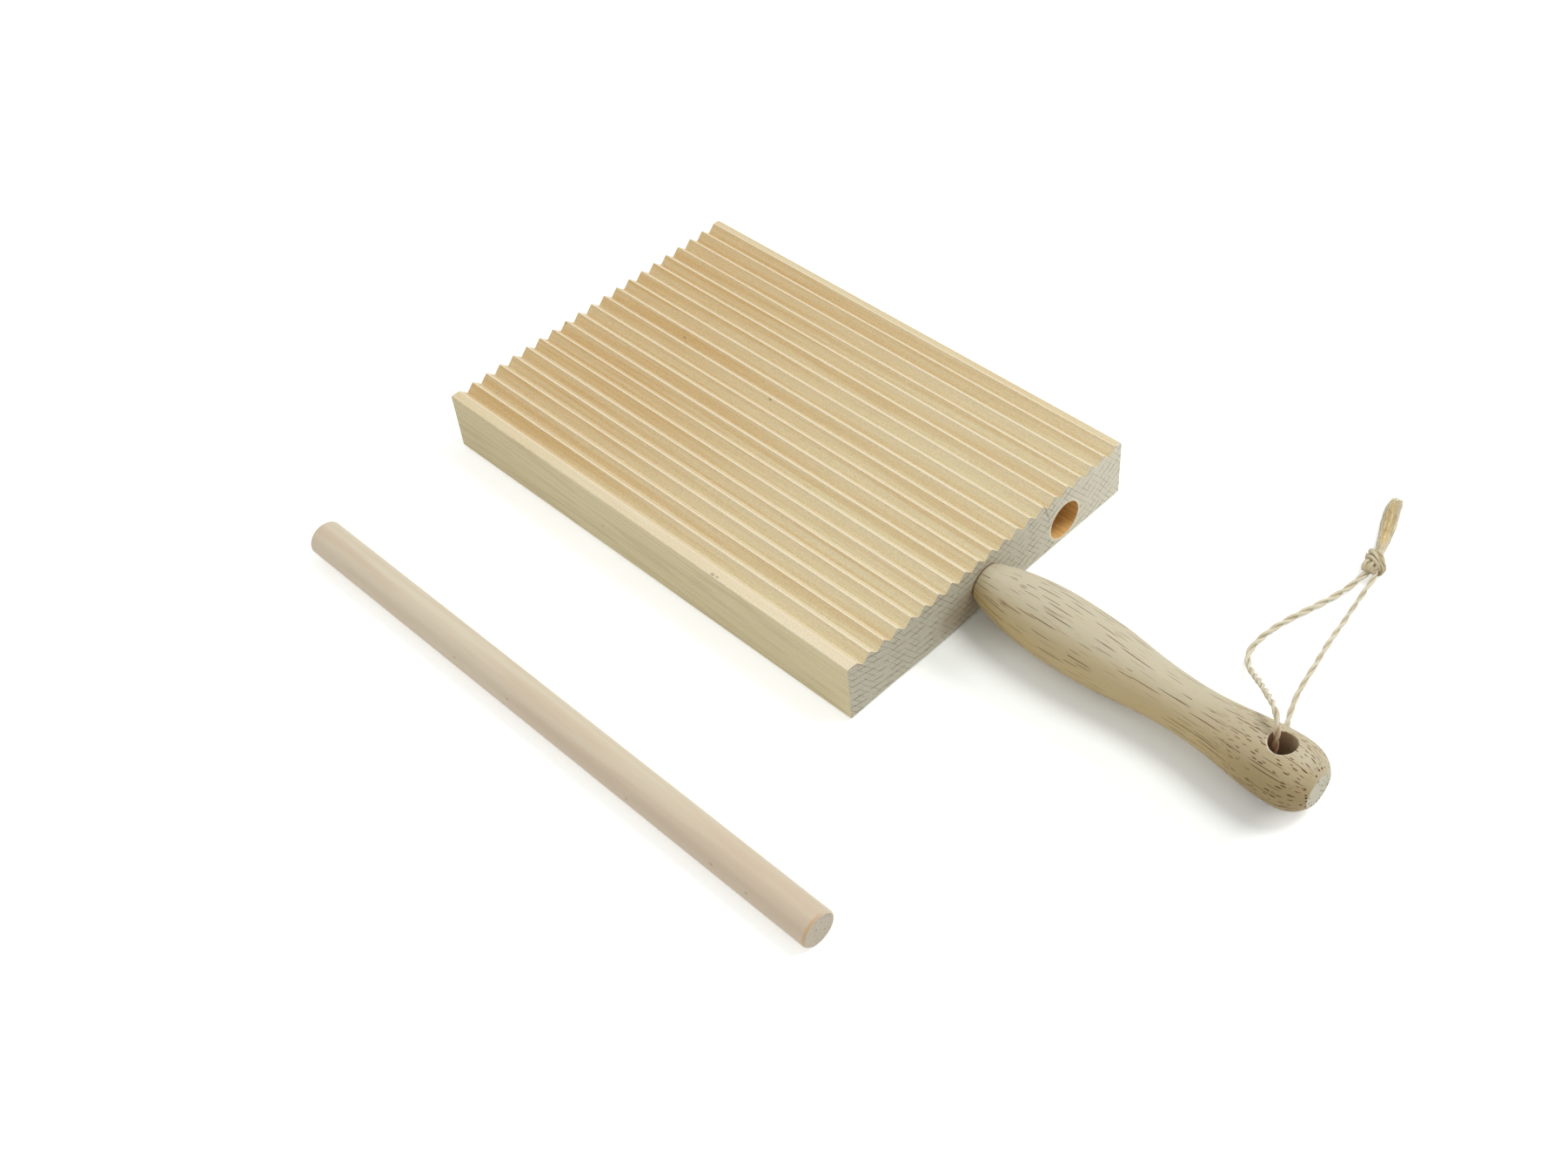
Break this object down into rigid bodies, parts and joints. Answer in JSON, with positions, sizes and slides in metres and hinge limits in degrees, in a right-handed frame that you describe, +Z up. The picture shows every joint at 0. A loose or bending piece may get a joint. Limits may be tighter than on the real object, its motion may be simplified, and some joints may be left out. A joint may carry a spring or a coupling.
{
  "type": "gnocchi board",
  "caption": "Grooved wooden board with a turned handle, a twine hanging loop and a loose rolling rod that stores in a bore beside the handle.",
  "frame": {"origin": "centre of the plank's underside, on the table", "axes": "+X along the plank and its grooves towards the handle, +Y towards the long side with the bore, +Z up out of the grooved face"},
  "size_m": [0.264, 0.2157, 0.0238],
  "materials": {
    "plank_wood": "sanded bare wood",
    "handle_wood": "turned and sanded bare wood",
    "rod_wood": "sanded bare dowel",
    "twine": "natural two-ply twine"
  },
  "bodies": {
    "board": {"ribbed_board": "plank_wood", "turned_handle": "handle_wood", "cord_over_handle": "twine", "cord_under_handle": "twine", "cord_knot": "twine", "cord_tails": "twine"},
    "rod": {"rolling_rod": "rod_wood"}
  },
  "joints": [
    {"name": "rod_lift", "type": "slide", "parent": "board", "child": "rod", "axis": [0, 0, 1], "range_m": [0, 0.06]}
  ]
}
